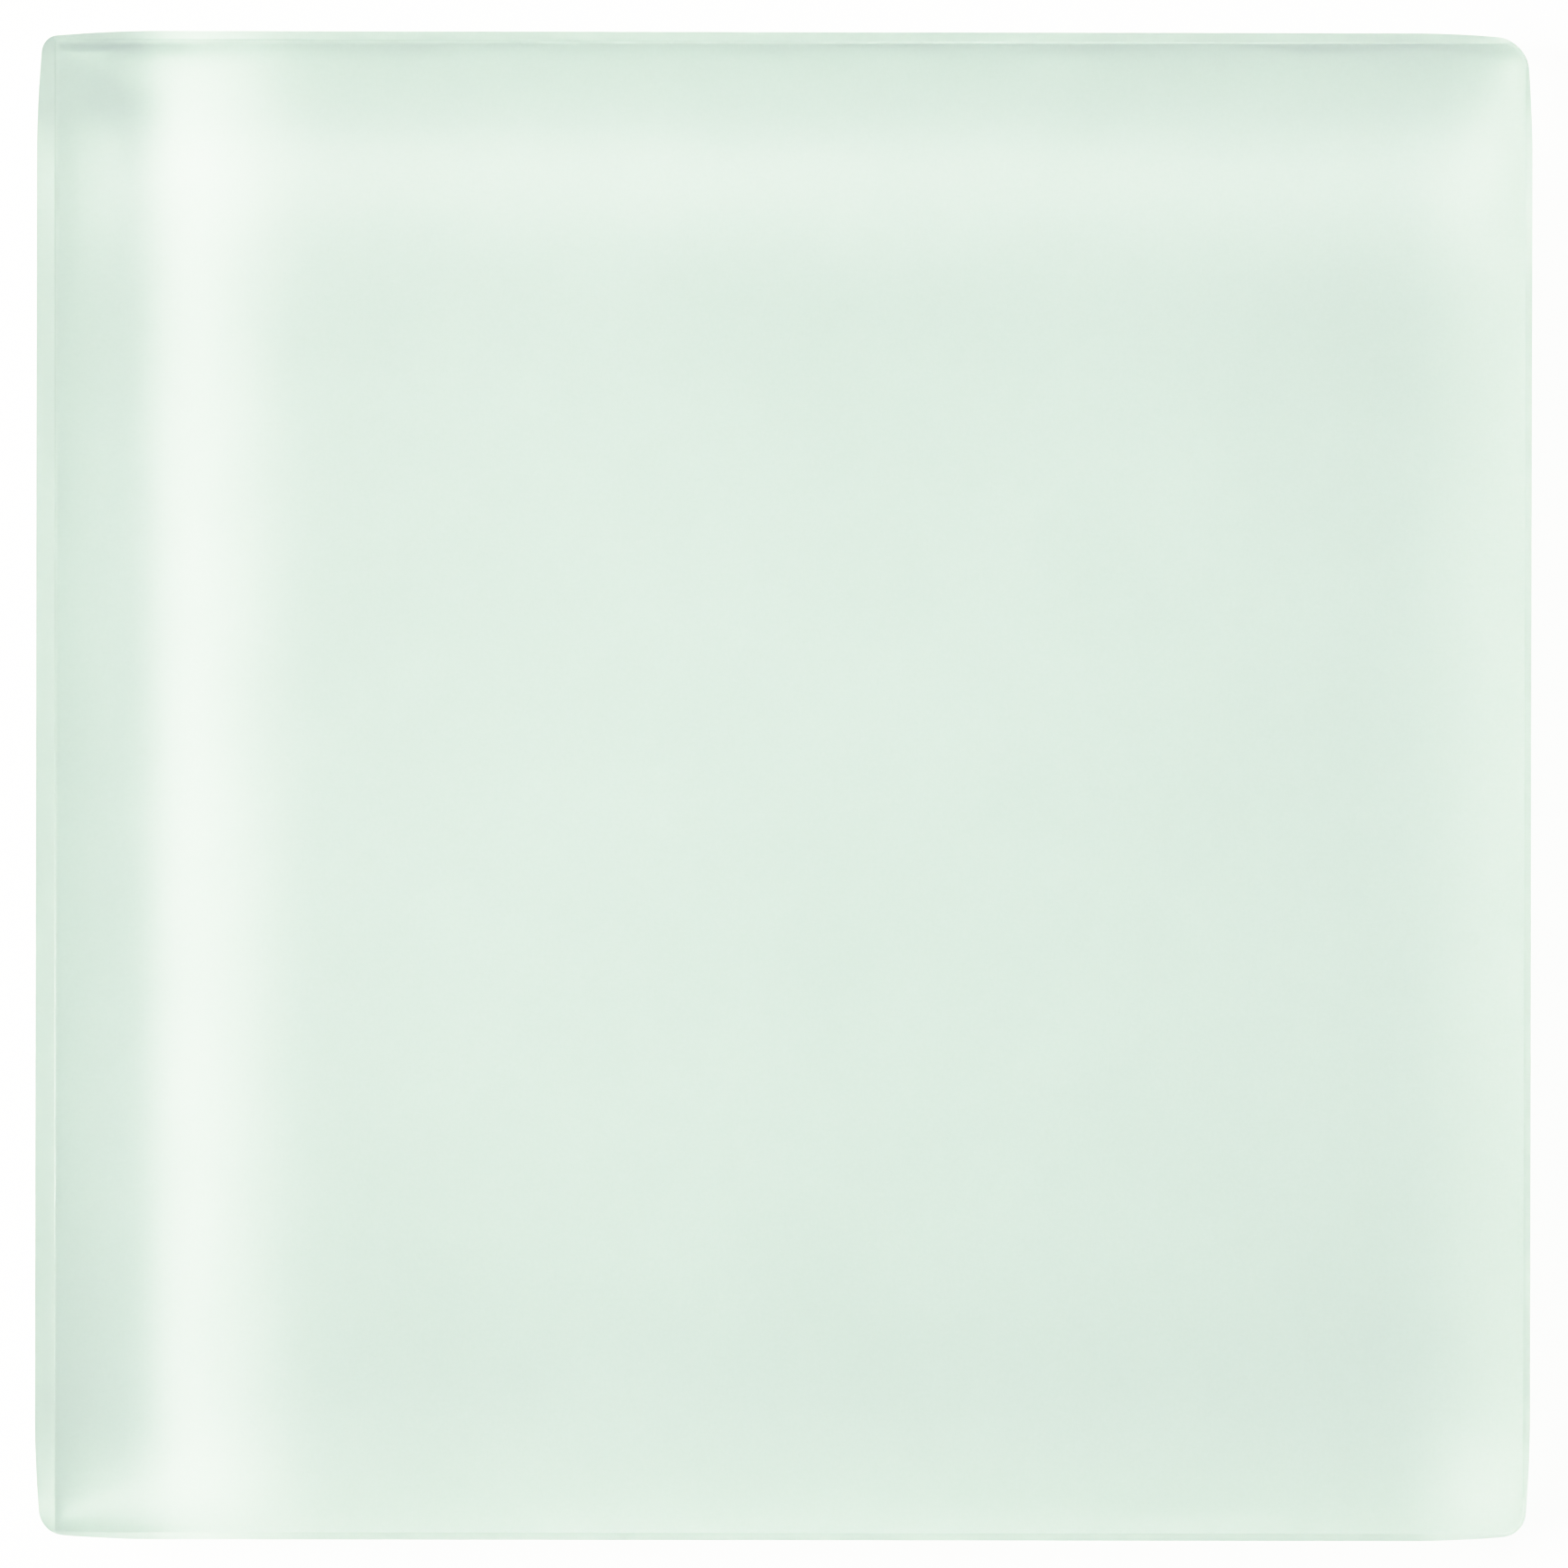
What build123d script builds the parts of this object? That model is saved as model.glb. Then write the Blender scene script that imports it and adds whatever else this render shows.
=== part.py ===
from build123d import *
import os

# Glass wall tile: one thick square of glass with ground edges.
# It lies on its back. The origin is the middle of the back face, X runs to the tile's right,
# Y runs up the wall that the tile is set on and Z comes straight out of the face.

# Driving dimensions, in millimetres
tile_width = 47.8
tile_height = 48.2
tile_thickness = 5.0

# Grinding softens the outline: near a corner both sides fall in along a shallow arc
ease_run = 4.0  # from a corner back along a side to where the side starts to fall in
ease_depth = 0.2  # from the line of either side in to the point that the two arcs meet at

# The corners are dubbed by hand, so each has a radius of its own
top_left_radius = 0.55
top_right_radius = 1.15
bottom_left_radius = 0.85
bottom_right_radius = 0.8

# A flat at 45 degrees, the arris, is ground along each edge of the face, and no two are alike
left_arris = 0.66  # width of each flat as seen from above
top_arris = 0.34
right_arris = 0.22
bottom_arris = 0.24

face_edge_radius = 0.15  # rounding between the face and the sides, left where no flat reaches
back_edge_radius = 0.25  # rounding between the back and the sides

half_width = tile_width / 2
half_height = tile_height / 2

with BuildPart() as glass_tile:
    with BuildSketch(Plane.XY) as plan:
        with BuildLine() as sides:
            # One quarter of the outline, from the middle of the right side to the middle of the top
            corner = (half_width - ease_depth, half_height - ease_depth)
            right_ease = (half_width, half_height - ease_run)
            top_ease = (half_width - ease_run, half_height)
            Line((half_width, 0), right_ease)
            TangentArc(right_ease, corner, tangent=(0, 1))
            TangentArc(top_ease, corner, tangent=(1, 0))
            Line(top_ease, (0, half_height))
            mirror(about=Plane.YZ)
            mirror(about=Plane.XZ)
        make_face()
        for x, y, radius in (
            (-half_width, half_height, top_left_radius),
            (half_width, half_height, top_right_radius),
            (-half_width, -half_height, bottom_left_radius),
            (half_width, -half_height, bottom_right_radius),
        ):
            fillet(plan.vertices().sort_by_distance((x, y))[0], radius)
    extrude(amount=tile_thickness)

    # The acid takes off what is sharp at the face and at the back
    face = glass_tile.faces().sort_by(Axis.Z)[-1]
    fillet(face.edges(), face_edge_radius)
    back = glass_tile.faces().sort_by(Axis.Z)[0]
    fillet(back.edges(), back_edge_radius)

    for outward, reach, arris in (
        (Vector(-1, 0, 0), half_width, left_arris),
        (Vector(0, 1, 0), half_height, top_arris),
        (Vector(1, 0, 0), half_width, right_arris),
        (Vector(0, -1, 0), half_height, bottom_arris),
    ):
        inner_edge = outward * (reach - arris) + Vector(0, 0, tile_thickness)
        split(bisect_by=Plane(inner_edge, z_dir=outward + Vector(0, 0, 1)), keep=Keep.BOTTOM)

glass_tile.part.label = "glass_tile"

os.makedirs("parts", exist_ok=True)
export_step(glass_tile.part, "parts/glass_tile.step")
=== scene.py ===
"""Satin glass wall tile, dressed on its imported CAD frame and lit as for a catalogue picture."""

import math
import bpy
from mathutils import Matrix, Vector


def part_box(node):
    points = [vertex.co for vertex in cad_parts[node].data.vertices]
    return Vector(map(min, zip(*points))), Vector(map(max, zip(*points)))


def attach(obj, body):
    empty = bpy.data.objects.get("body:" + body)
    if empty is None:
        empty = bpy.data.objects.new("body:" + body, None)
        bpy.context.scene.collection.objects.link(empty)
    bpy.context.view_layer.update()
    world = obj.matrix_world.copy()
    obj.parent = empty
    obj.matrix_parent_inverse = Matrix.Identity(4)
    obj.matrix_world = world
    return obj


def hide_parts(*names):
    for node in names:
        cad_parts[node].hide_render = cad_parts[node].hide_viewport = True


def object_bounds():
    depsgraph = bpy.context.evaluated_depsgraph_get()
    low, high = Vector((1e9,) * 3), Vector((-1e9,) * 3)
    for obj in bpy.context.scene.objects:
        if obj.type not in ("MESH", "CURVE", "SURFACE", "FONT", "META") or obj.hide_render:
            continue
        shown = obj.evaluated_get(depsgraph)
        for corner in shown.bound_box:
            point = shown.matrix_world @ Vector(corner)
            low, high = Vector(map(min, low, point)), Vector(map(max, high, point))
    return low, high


bl_info = {
    "name": "Satin Glass Wall Tile",
    "version": (1, 0, 0),
    "blender": (4, 5, 0),
    "location": "3D View > Sidebar > Glass Tile",
    "description": "Models a glass tile with ground edges on its CAD frame and sets up its studio",
    "category": "Object",
}

import bmesh
import bpy
from mathutils import Matrix, Vector

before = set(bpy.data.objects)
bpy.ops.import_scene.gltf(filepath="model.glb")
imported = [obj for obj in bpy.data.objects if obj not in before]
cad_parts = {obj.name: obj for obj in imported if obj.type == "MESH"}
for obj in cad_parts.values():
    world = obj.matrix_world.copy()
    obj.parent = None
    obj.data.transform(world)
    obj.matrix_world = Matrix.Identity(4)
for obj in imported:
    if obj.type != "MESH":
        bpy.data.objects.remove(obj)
cad_low, cad_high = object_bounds()

MM = 0.001
TILE_NODE = "glass_tile"

# How finely the outline and the rounded edges are divided
EASE_STEPS = 6
CORNER_STEPS = 12
SIDE_CUTS = 15
EDGE_SEGMENTS = 6
# A loop of edges this far from each rounded edge keeps the sides flat in the shading
SUPPORT = 0.08 * MM
# Points that are closer than this are one point
WELD = 0.001 * MM
# Heights that are closer than this are level
LEVEL = 0.0001 * MM
# A face whose normal rises more than this is on a flat, and more than that on the tile's face
FLAT_RISE = 0.5
FACE_RISE = 0.9
# How much of the flats' grey the sides have, and a pit in the etch
SIDE_GREY = 0.8
PIT_GREY = 0.4
# The mesh's second material
ENAMEL_INDEX = 1
# The colour sockets of a Mix node, because their names are not unique
MIX_A, MIX_B, MIX_RESULT = 6, 7, 2

# The paper reaches this far each way and lies this far below the tile's back
PAPER_REACH = 2000 * MM
PAPER_GAP = 0.2 * MM
# The side of a softbox as a share of its distance
SOFTBOX_SHARE = 0.43
# The view's curve that works on red, green and blue alike
COMBINED_CURVE = 3
# Points on the curve's shoulder, the step between them and its end, both in spans of the shoulder
SHOULDER_POINTS = 13
SHOULDER_STEP = 0.5
SHOULDER_END = 12


def linear(hex_colour):
    """An sRGB hex colour as linear red, green and blue."""
    parts = [int(hex_colour[i:i + 2], 16) / 255 for i in (1, 3, 5)]
    return tuple(c / 12.92 if c <= 0.04045 else ((c + 0.055) / 1.055) ** 2.4 for c in parts)


def add_node(tree, kind, values=None, links=None, **settings):
    """Adds a node, sets its settings and socket values, and links its inputs."""
    node = tree.nodes.new(kind)
    for name, value in settings.items():
        setattr(node, name, value)
    for socket, value in (values or {}).items():
        node.inputs[socket].default_value = value
    for socket, source in (links or {}).items():
        tree.links.new(source, node.inputs[socket])
    return node


def blank_material(name):
    """A material with nothing in its tree but an output."""
    material = bpy.data.materials.new(name)
    material.use_nodes = True
    tree = material.node_tree
    tree.nodes.clear()
    return material, tree, add_node(tree, "ShaderNodeOutputMaterial")


def length(name, description, millimetres):
    """A length property with its default in millimetres."""
    return bpy.props.FloatProperty(
        name=name, description=description, default=millimetres * MM, min=0.0, precision=5,
        unit="LENGTH", subtype="DISTANCE")


def colour(name, description, hex_colour):
    """A colour property with its default as sRGB hex."""
    return bpy.props.FloatVectorProperty(
        name=name, description=description, default=linear(hex_colour), min=0.0, max=1.0, size=3,
        subtype="COLOR")


def share(name, description, default):
    """A property between 0 and 1."""
    return bpy.props.FloatProperty(
        name=name, description=description, default=default, min=0.0, max=1.0, subtype="FACTOR")


def angle(name, description, degrees):
    """An angle property with its default in degrees."""
    return bpy.props.FloatProperty(
        name=name, description=description, default=math.radians(degrees), subtype="ANGLE", unit="ROTATION")


def power(name, description, watts):
    """A power property with its default in watts."""
    return bpy.props.FloatProperty(name=name, description=description, default=watts, min=0.0, unit="POWER")


class GlassTileSettings(bpy.types.PropertyGroup):
    """Sizes and finishes of the tile."""

    ease_run: length("Ease run", "From a corner back to where a side starts to fall in", 4.0)
    ease_depth: length("Ease depth", "How far in from both sides a corner lies", 0.2)
    top_left_radius: length("Top left", "Radius of the top left corner in plan", 0.55)
    top_right_radius: length("Top right", "Radius of the top right corner in plan", 1.15)
    bottom_left_radius: length("Bottom left", "Radius of the bottom left corner in plan", 0.85)
    bottom_right_radius: length("Bottom right", "Radius of the bottom right corner in plan", 0.8)
    left_arris: length("Left arris", "Width of the flat ground along the left edge of the face", 0.66)
    top_arris: length("Top arris", "Width of the flat ground along the top edge of the face", 0.34)
    right_arris: length("Right arris", "Width of the flat ground along the right edge of the face", 0.22)
    bottom_arris: length("Bottom arris", "Width of the flat ground along the bottom edge of the face", 0.24)
    face_edge_radius: length("Face edge", "Rounding between the face and the sides", 0.15)
    back_edge_radius: length("Back edge", "Rounding between the back and the sides", 0.25)
    arris_ease: length("Arris ease", "How far the edge between the face and each flat is eased", 0.12)
    enamel_lip: length("Enamel lip", "How far the enamel on the back runs up the sides", 0.19)
    glass_colour: colour("Glass", "Colour of the glass itself at its surface", "#FBFDFC")
    ground_colour: colour("Ground glass", "Colour of the glass where the flats were ground", "#E6EBE8")
    enamel_colour: colour("Enamel", "Colour fired on the back", "#E2ECE8")
    enamel_cloud: colour("Enamel cloud", "Colour of the enamel's thicker patches", "#E0EAE6")
    face_roughness: share("Face roughness", "How satin the etched face and its flats are", 0.3)
    left_roughness: share("Left roughness", "How satin the left side is", 0.42)
    top_roughness: share("Top roughness", "How satin the top side is", 0.3)
    right_roughness: share("Right roughness", "How satin the right side is", 0.6)
    bottom_roughness: share("Bottom roughness", "How satin the bottom side is", 0.28)


class StudioSettings(bpy.types.PropertyGroup):
    """Floor, lights and camera."""

    floor_colour: colour("Floor", "Colour of the paper that the tile lies on", "#E7E7E7")
    floor_glow: bpy.props.FloatProperty(
        name="Floor glow", description="Light through the paper from the table below it", default=0.045,
        min=0.0)
    glow_colour: colour("Glow colour", "Colour of the light through the paper", "#FFFFF4")
    key_colour: colour("Key colour", "Colour of both softboxes", "#FEFFE8")
    left_power: power("Left softbox", "Power of the softbox at the tile's left", 0.147)
    left_distance: length("Left distance", "From the left softbox to the tile", 450.0)
    left_elevation: angle("Left height", "Angle of the left softbox above the floor", 37.5)
    top_power: power("Top softbox", "Power of the softbox beyond the tile's top", 0.165)
    top_distance: length("Top distance", "From the top softbox to the tile", 700.0)
    top_elevation: angle("Top height", "Angle of the top softbox above the floor", 42.0)
    room_colour: colour("Room colour", "Colour of the light from all round", "#E7E7FF")
    room_light: bpy.props.FloatProperty(
        name="Room light", description="Even light from all round", default=0.0315, min=0.0)
    exposure: bpy.props.FloatProperty(
        name="Exposure", description="Stops that the picture is lightened by", default=4.0)
    shoulder: share("Shoulder", "Share of white above which highlights roll off", 0.72)
    camera_distance: length("Camera distance", "From the lens to the tile's face", 600.0)
    frame_width: length("Frame width", "Width of the picture at the tile's face", 50.08)
    lean_left: angle("Lean left", "How far the camera stands to the left of straight above", 0.3)
    lean_up: angle("Lean up", "How far the camera stands towards the tile's top", 0.3)
    roll: angle("Roll", "Turn of the camera about its own axis", 0.1)
    aim_right: length("Aim right", "How far to the right of the tile's middle the camera aims", 0.017)
    aim_up: length("Aim up", "How far above the tile's middle, towards its top, the camera aims", 0.073)


def draw_outline(bm, sizes, half_width, half_height):
    """Runs one vertex round the plan.

    Four times it draws a straight side, a shallow arc, the corner and another shallow arc.
    """
    run, depth = sizes.ease_run, sizes.ease_depth
    ease_radius = ((run - depth) ** 2 + depth ** 2) / (2 * depth)
    reach = ease_radius + run
    radii = (
        sizes.top_right_radius, sizes.top_left_radius, sizes.bottom_left_radius, sizes.bottom_right_radius)
    pen = bm.verts.new((half_width, run - half_height, 0))
    for quarter, radius in enumerate(radii):
        turn = Matrix.Rotation(quarter * math.pi / 2, 3, "Z")
        across, along = (half_height, half_width) if quarter % 2 else (half_width, half_height)
        # The corner's arc touches both shallow arcs from inside, and so its centre lies this far in
        inset = (reach - math.sqrt(reach ** 2 - 2 * (run ** 2 + 2 * ease_radius * radius - radius ** 2))) / 2
        ease_angle = math.atan2(run - inset, ease_radius - inset)
        pen = bmesh.ops.extrude_vert_indiv(bm, verts=[pen])["verts"][0]
        pen.co = turn @ Vector((across, along - run, 0))
        for centre, sweep, steps in (
            ((across - ease_radius, along - run, 0), ease_angle, EASE_STEPS),
            ((across - inset, along - inset, 0), math.pi / 2 - 2 * ease_angle, CORNER_STEPS),
            ((across - run, along - ease_radius, 0), ease_angle, EASE_STEPS),
        ):
            arc = bmesh.ops.spin(
                bm, geom=[pen], cent=turn @ Vector(centre), axis=(0, 0, 1), angle=sweep, steps=steps)
            pen = next(part for part in arc["geom_last"] if isinstance(part, bmesh.types.BMVert))
    bmesh.ops.remove_doubles(bm, verts=bm.verts, dist=WELD)
    sides = [e for e in bm.edges if e.calc_length() > run]
    bmesh.ops.subdivide_edges(bm, edges=sides, cuts=SIDE_CUTS)


def raise_walls(bm, levels):
    """Draws the outline up to each level in turn, and closes the back and the face."""
    ring = bm.edges[:]
    for level in levels:
        wall = bmesh.ops.extrude_edge_only(bm, edges=ring)["geom"]
        raised = {part for part in wall if isinstance(part, bmesh.types.BMVert)}
        for vert in raised:
            vert.co.z = level
        ring = [
            part for part in wall
            if isinstance(part, bmesh.types.BMEdge) and raised.issuperset(part.verts)]
    bmesh.ops.holes_fill(bm, edges=bm.edges[:])
    bmesh.ops.recalc_face_normals(bm, faces=bm.faces[:])


def flat_face(bm, top):
    """The face, or faces, at the top or at the back of the tile."""
    level = max(v.co.z for v in bm.verts) if top else min(v.co.z for v in bm.verts)
    return [f for f in bm.faces if all(abs(v.co.z - level) < LEVEL for v in f.verts)]


def round_edges(bm, edges, radius):
    """Rounds edges and returns the faces that this makes."""
    return bmesh.ops.bevel(
        bm, geom=edges, offset=radius, offset_type="OFFSET", affect="EDGES", segments=EDGE_SEGMENTS,
        profile=0.5, material=-1, clamp_overlap=False)["faces"]


def grind_flats(bm, sizes, half_width, half_height, face_level):
    """Grinds each edge of the face on a flat belt at 45 degrees."""
    for outward, reach, arris in (
        (Vector((-1, 0, 0)), half_width, sizes.left_arris),
        (Vector((0, 1, 0)), half_height, sizes.top_arris),
        (Vector((1, 0, 0)), half_width, sizes.right_arris),
        (Vector((0, -1, 0)), half_height, sizes.bottom_arris),
    ):
        cut = bmesh.ops.bisect_plane(
            bm, geom=bm.verts[:] + bm.edges[:] + bm.faces[:],
            plane_co=outward * (reach - arris) + Vector((0, 0, face_level)),
            plane_no=outward + Vector((0, 0, 1)), clear_outer=True)
        rim = [part for part in cut["geom_cut"] if isinstance(part, bmesh.types.BMEdge)]
        for face in bmesh.ops.holes_fill(bm, edges=rim)["faces"]:
            face.smooth = False
    bmesh.ops.recalc_face_normals(bm, faces=bm.faces[:])


def mark_finishes(bm, sizes):
    """Gives each face its roughness, its grey and its material.

    Each side is ground on its own and has its own roughness. The flats come off a coarser belt and are
    greyer.
    """
    bm.normal_update()
    satin, ground = bm.faces.layers.float.new("satin"), bm.faces.layers.float.new("ground")
    for face in bm.faces:
        across, up, out = face.normal
        face[ground] = SIDE_GREY
        if out > FLAT_RISE:
            face[satin] = sizes.face_roughness
            face[ground] = 0.0 if out > FACE_RISE else 1.0
        elif abs(across) > abs(up):
            face[satin] = sizes.right_roughness if across > 0 else sizes.left_roughness
        else:
            face[satin] = sizes.top_roughness if up > 0 else sizes.bottom_roughness
        if all(vert.co.z < sizes.enamel_lip + LEVEL for vert in face.verts):
            face.material_index = ENAMEL_INDEX


def tile_mesh(sizes):
    """The tile's closed mesh, back down."""
    low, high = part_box(TILE_NODE)
    half_width, half_height = (high.x - low.x) / 2, (high.y - low.y) / 2
    bm = bmesh.new()
    draw_outline(bm, sizes, half_width, half_height)
    back_support = sizes.back_edge_radius + SUPPORT
    face_support = high.z - sizes.face_edge_radius - SUPPORT
    raise_walls(bm, (back_support, face_support, high.z))
    for top, radius in ((True, sizes.face_edge_radius), (False, sizes.back_edge_radius)):
        round_edges(bm, [e for f in flat_face(bm, top) for e in f.edges], radius)
    for face in bm.faces:
        face.smooth = True
    grind_flats(bm, sizes, half_width, half_height, high.z)
    for face in flat_face(bm, top=True) + flat_face(bm, top=False):
        face.smooth = False
    # The four long edges of the face are where it meets the flats
    inner = [e for f in flat_face(bm, top=True) for e in f.edges if e.calc_length() > half_width]
    for face in round_edges(bm, inner, sizes.arris_ease):
        face.smooth = True
    mark_finishes(bm, sizes)
    mesh = bpy.data.meshes.new("satin_glass_tile")
    bm.to_mesh(mesh)
    bm.free()
    return mesh


def satin_etched_glass(settings):
    """Float glass, cut, ground at its sides and dipped in acid.

    The eye gets a soft milky depth: light enters through the face and the sides, and the fine pits of the
    etch blur it, so the back shows through with a dark band and a bright strip along the lit sides.
    """
    material, tree, output = blank_material("Float glass, acid-etched satin")
    place = add_node(tree, "ShaderNodeTexCoord")
    # The pits of an acid etch are about 0.05 mm across. They are drawn at 0.12 mm, so that they show
    pits = add_node(
        tree, "ShaderNodeTexNoise", {"Scale": 1 / (0.12 * MM), "Detail": 1.0, "Roughness": 0.6},
        {"Vector": place.outputs["Object"]})
    # The acid bites unevenly over about 7 mm
    bite = add_node(
        tree, "ShaderNodeTexNoise", {"Scale": 1 / (7 * MM), "Detail": 1.0, "Roughness": 0.5},
        {"Vector": place.outputs["Object"]})
    satin = add_node(tree, "ShaderNodeAttribute", attribute_name="satin")
    uneven = add_node(
        tree, "ShaderNodeMapRange", {"From Min": 0.3, "From Max": 0.7, "To Min": -0.02, "To Max": 0.02},
        {"Value": bite.outputs["Fac"]})
    rough = add_node(
        tree, "ShaderNodeMath", None, {0: satin.outputs["Fac"], 1: uneven.outputs["Result"]},
        operation="ADD")
    # Ground glass is greyer, and so is each pit
    ground = add_node(tree, "ShaderNodeAttribute", attribute_name="ground")
    grey = add_node(
        tree, "ShaderNodeMath", {1: PIT_GREY}, {0: pits.outputs["Fac"], 2: ground.outputs["Fac"]},
        operation="MULTIPLY_ADD")
    tint = add_node(
        tree, "ShaderNodeMix", {MIX_A: (*settings.glass_colour, 1), MIX_B: (*settings.ground_colour, 1)},
        {"Factor": grey.outputs[0]}, data_type="RGBA")
    relief = add_node(
        tree, "ShaderNodeBump", {"Strength": 1.0, "Distance": 0.0015 * MM}, {"Height": pits.outputs["Fac"]})
    glass = add_node(
        tree, "ShaderNodeBsdfPrincipled", {"Transmission Weight": 1.0, "IOR": 1.52},
        {"Base Color": tint.outputs[MIX_RESULT], "Roughness": rough.outputs[0],
         "Normal": relief.outputs["Normal"]})
    tree.links.new(glass.outputs["BSDF"], output.inputs["Surface"])
    return material


def fired_enamel(settings):
    """Ceramic enamel, rolled on the back and fired.

    The eye gets an even, opaque mint with faint clouds where the roller left more colour.
    """
    material, tree, output = blank_material("Glass enamel, rolled and fired")
    place = add_node(tree, "ShaderNodeTexCoord")
    # The clouds are about 9 mm across
    clouds = add_node(
        tree, "ShaderNodeTexNoise", {"Scale": 1 / (9 * MM), "Detail": 2.0, "Roughness": 0.55},
        {"Vector": place.outputs["Object"]})
    thick = add_node(
        tree, "ShaderNodeMapRange", {"From Min": 0.35, "From Max": 0.65}, {"Value": clouds.outputs["Fac"]})
    tone = add_node(
        tree, "ShaderNodeMix", {MIX_A: (*settings.enamel_colour, 1), MIX_B: (*settings.enamel_cloud, 1)},
        {"Factor": thick.outputs["Result"]}, data_type="RGBA")
    # A roller leaves a peel of about 0.6 mm
    peel = add_node(
        tree, "ShaderNodeTexNoise", {"Scale": 1 / (0.6 * MM), "Detail": 1.0},
        {"Vector": place.outputs["Object"]})
    gloss = add_node(
        tree, "ShaderNodeMapRange", {"From Min": 0.3, "From Max": 0.7, "To Min": 0.5, "To Max": 0.62},
        {"Value": peel.outputs["Fac"]})
    relief = add_node(
        tree, "ShaderNodeBump", {"Strength": 1.0, "Distance": 0.008 * MM}, {"Height": peel.outputs["Fac"]})
    enamel = add_node(
        tree, "ShaderNodeBsdfPrincipled", {"IOR": 1.5},
        {"Base Color": tone.outputs[MIX_RESULT], "Roughness": gloss.outputs["Result"],
         "Normal": relief.outputs["Normal"]})
    tree.links.new(enamel.outputs["BSDF"], output.inputs["Surface"])
    return material


def background_paper(studio):
    """Matt background paper, made on a roll.

    The eye gets an even pale ground with a slight tooth.
    """
    material, tree, output = blank_material("Background paper, matt")
    place = add_node(tree, "ShaderNodeTexCoord")
    # The tooth of the paper is about 0.4 mm
    tooth = add_node(
        tree, "ShaderNodeTexNoise", {"Scale": 1 / (0.4 * MM), "Detail": 2.0},
        {"Vector": place.outputs["Object"]})
    relief = add_node(
        tree, "ShaderNodeBump", {"Strength": 0.3, "Distance": 0.02 * MM}, {"Height": tooth.outputs["Fac"]})
    sheet = add_node(
        tree, "ShaderNodeBsdfPrincipled",
        {"Base Color": (*studio.floor_colour, 1), "Roughness": 0.9,
         "Emission Color": (*studio.glow_colour, 1), "Emission Strength": studio.floor_glow},
        {"Normal": relief.outputs["Normal"]})
    tree.links.new(sheet.outputs["BSDF"], output.inputs["Surface"])
    return material


def lay_paper(scene, studio):
    """The sheet of paper that the tile lies on."""
    bm = bmesh.new()
    bmesh.ops.create_grid(bm, x_segments=1, y_segments=1, size=PAPER_REACH)
    bmesh.ops.translate(bm, verts=bm.verts, vec=(0, 0, -PAPER_GAP))
    mesh = bpy.data.meshes.new("paper")
    bm.to_mesh(mesh)
    bm.free()
    mesh.materials.append(background_paper(studio))
    floor = bpy.data.objects.new("paper", mesh)
    scene.collection.objects.link(floor)


def hang_softbox(scene, name, azimuth, elevation, distance, watts, key_colour):
    """A square softbox that is turned to the tile. Azimuth 0 is along X."""
    light = bpy.data.lights.new(name, "AREA")
    light.shape = "SQUARE"
    light.size = SOFTBOX_SHARE * distance
    light.energy = watts
    light.color = key_colour
    towards = Vector((
        math.cos(elevation) * math.cos(azimuth),
        math.cos(elevation) * math.sin(azimuth),
        math.sin(elevation)))
    softbox = bpy.data.objects.new(name, light)
    softbox.location = towards * distance
    softbox.rotation_euler = towards.to_track_quat("Z", "Y").to_euler()
    softbox.visible_camera = False
    scene.collection.objects.link(softbox)


def light_room(scene, studio):
    """Even light from all round."""
    world = bpy.data.worlds.new("room")
    scene.world = world
    world.use_nodes = True
    sky = world.node_tree.nodes["Background"]
    sky.inputs["Color"].default_value = (*studio.room_colour, 1)
    sky.inputs["Strength"].default_value = studio.room_light


def stand_camera(scene, studio):
    """The camera, almost straight above the tile."""
    lens = bpy.data.cameras.new("camera")
    lens.lens = lens.sensor_width * studio.camera_distance / studio.frame_width
    camera = bpy.data.objects.new("camera", lens)
    camera.rotation_euler = (-studio.lean_up, -studio.lean_left, studio.roll)
    aim = Vector((studio.aim_right, studio.aim_up, cad_high.z))
    back = camera.rotation_euler.to_matrix() @ Vector((0, 0, 1))
    camera.location = aim + back * studio.camera_distance
    scene.collection.objects.link(camera)
    scene.camera = camera


def expose(view, studio):
    """Sets the exposure, with highlights that roll off into white as on film."""
    view.view_transform = "Standard"
    view.look = "None"
    view.exposure = studio.exposure
    # The curve comes before the exposure, so it works on the light in the scene, where each stop halves white
    white = 0.5 ** studio.exposure
    foot, span = studio.shoulder * white, (1 - studio.shoulder) * white
    view.use_curve_mapping = True
    curve = view.curve_mapping.curves[COMBINED_CURVE]
    curve.points[-1].location = (foot + span * SHOULDER_END, white)
    for point in range(SHOULDER_POINTS):
        spans = point * SHOULDER_STEP
        curve.points.new(foot + span * spans, foot + span * (1 - math.exp(-spans)))
    view.curve_mapping.update()


class GLASSTILE_OT_make_tile(bpy.types.Operator):
    """Model the glass tile with its ground edges and its enamelled back"""

    bl_idname = "glasstile.make_tile"
    bl_label = "Make Tile"

    def execute(self, context):
        settings = context.scene.glass_tile
        mesh = tile_mesh(settings)
        mesh.materials.append(satin_etched_glass(settings))
        mesh.materials.append(fired_enamel(settings))
        tile = bpy.data.objects.new("satin_glass_tile", mesh)
        context.scene.collection.objects.link(tile)
        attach(tile, "root")
        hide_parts(TILE_NODE)
        return {"FINISHED"}


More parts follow.
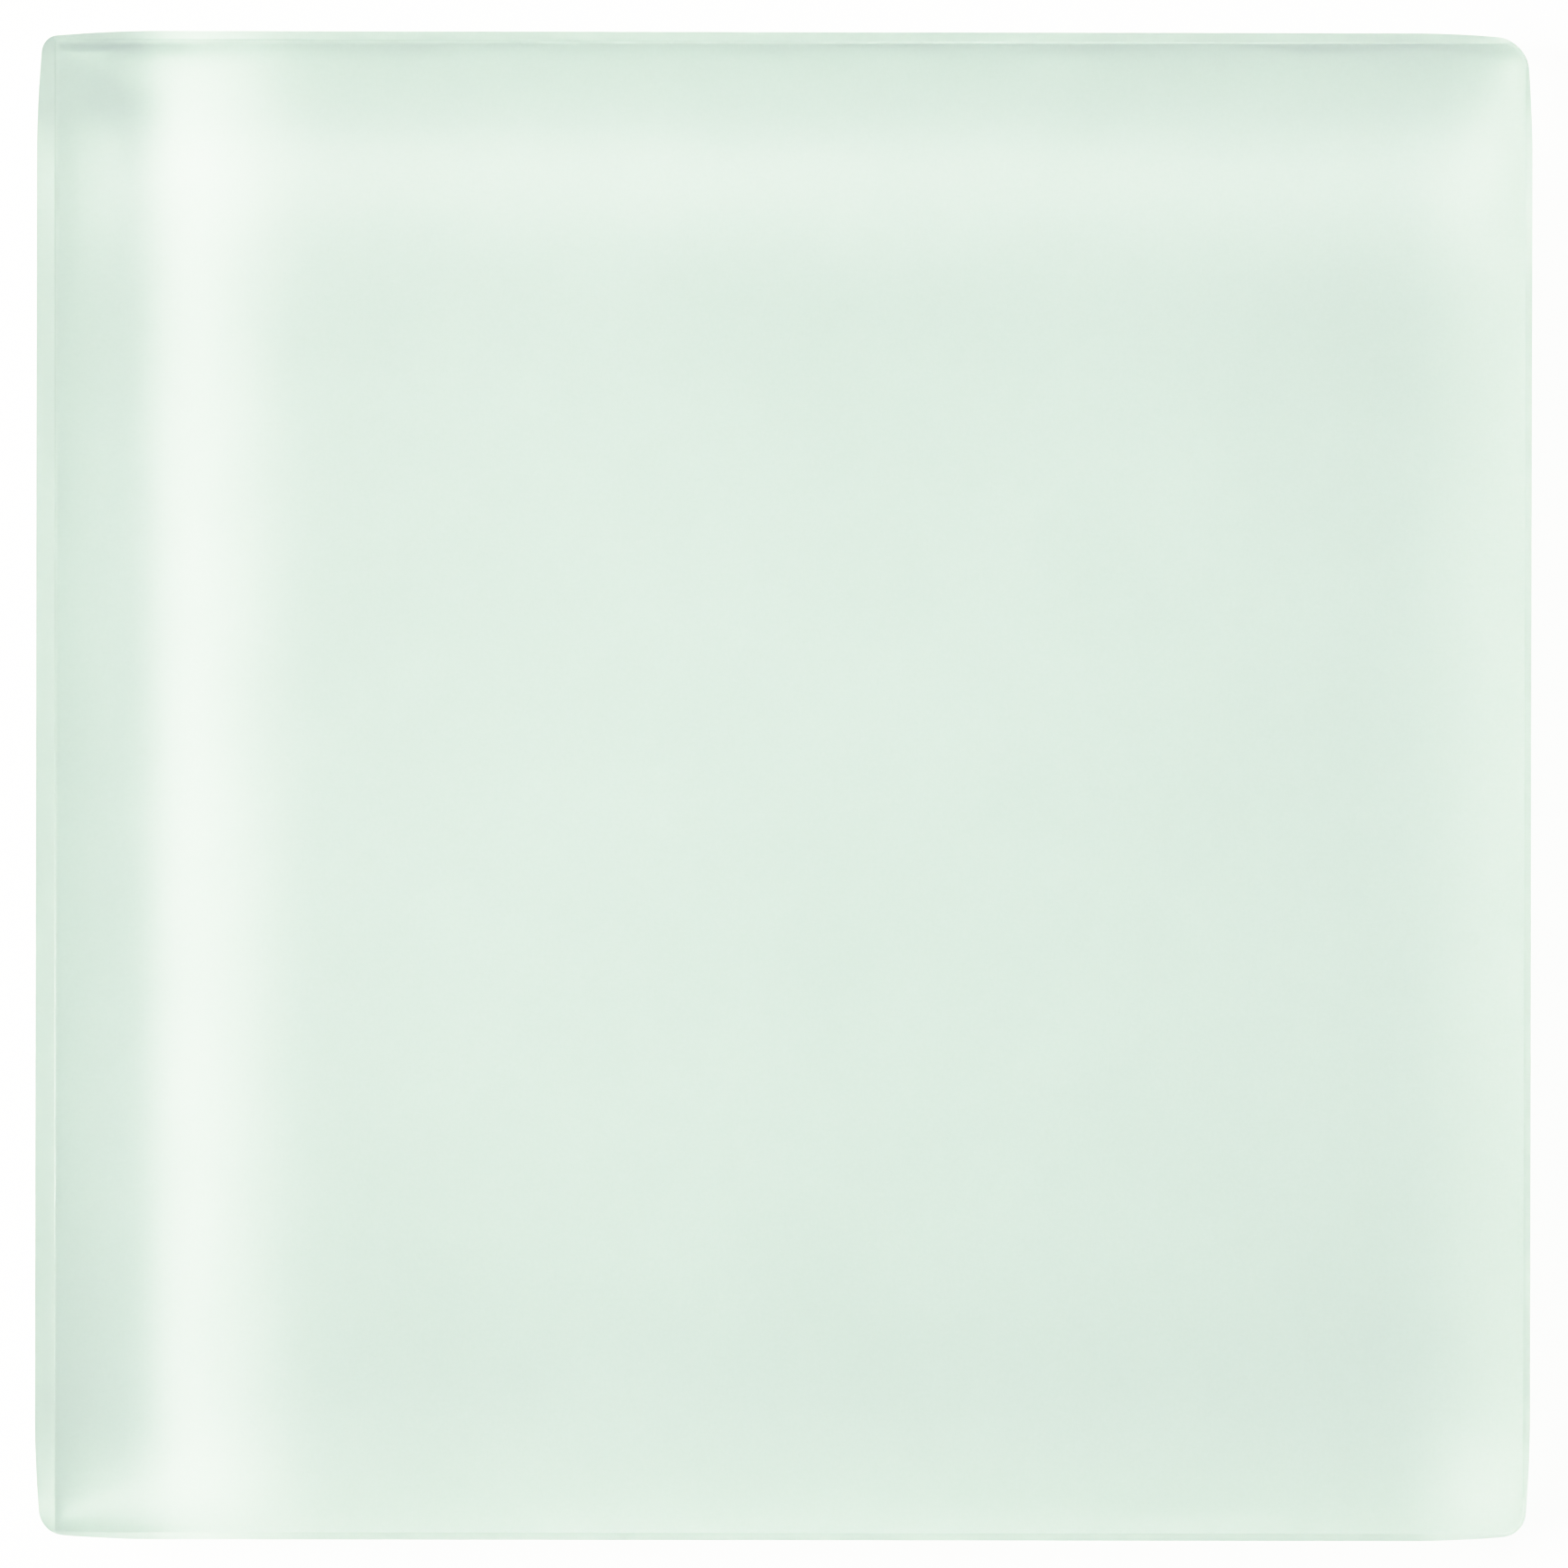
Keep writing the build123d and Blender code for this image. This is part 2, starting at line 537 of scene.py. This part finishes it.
class GLASSTILE_OT_set_stage(bpy.types.Operator):
    """Lay the paper, hang the softboxes and stand the camera above the tile"""

    bl_idname = "glasstile.set_stage"
    bl_label = "Set Stage"

    def execute(self, context):
        scene, studio = context.scene, context.scene.glass_tile_studio
        lay_paper(scene, studio)
        for name, azimuth, elevation, distance, watts in (
            ("left_softbox", math.pi, studio.left_elevation, studio.left_distance, studio.left_power),
            ("top_softbox", math.pi / 2, studio.top_elevation, studio.top_distance, studio.top_power),
        ):
            hang_softbox(scene, name, azimuth, elevation, distance, watts, studio.key_colour)
        light_room(scene, studio)
        stand_camera(scene, studio)
        # The strips on the back are light bent by the glass, and the default filter would blur them away
        scene.cycles.blur_glossy = 0.0
        # Light leaves the glass within a few bounces, and two softboxes need no light tree
        scene.cycles.max_bounces = 8
        scene.cycles.use_light_tree = False
        expose(scene.view_settings, studio)
        return {"FINISHED"}


class GLASSTILE_PT_sidebar(bpy.types.Panel):
    """The tile's settings in the 3D view's sidebar"""

    bl_idname = "GLASSTILE_PT_sidebar"
    bl_label = "Glass Tile"
    bl_space_type = "VIEW_3D"
    bl_region_type = "UI"
    bl_category = "Glass Tile"

    def draw(self, context):
        for group, operator in (
            (context.scene.glass_tile, GLASSTILE_OT_make_tile),
            (context.scene.glass_tile_studio, GLASSTILE_OT_set_stage),
        ):
            column = self.layout.column(align=True)
            for name in group.__annotations__:
                column.prop(group, name)
            column.operator(operator.bl_idname)


CLASSES = (
    GlassTileSettings, StudioSettings, GLASSTILE_OT_make_tile, GLASSTILE_OT_set_stage, GLASSTILE_PT_sidebar)


def register():
    for cls in CLASSES:
        bpy.utils.register_class(cls)
    bpy.types.Scene.glass_tile = bpy.props.PointerProperty(type=GlassTileSettings)
    bpy.types.Scene.glass_tile_studio = bpy.props.PointerProperty(type=StudioSettings)


def unregister():
    del bpy.types.Scene.glass_tile_studio
    del bpy.types.Scene.glass_tile
    for cls in reversed(CLASSES):
        bpy.utils.unregister_class(cls)


def main():
    register()
    bpy.ops.glasstile.make_tile()
    bpy.ops.glasstile.set_stage()


if __name__ == "__main__":
    main()
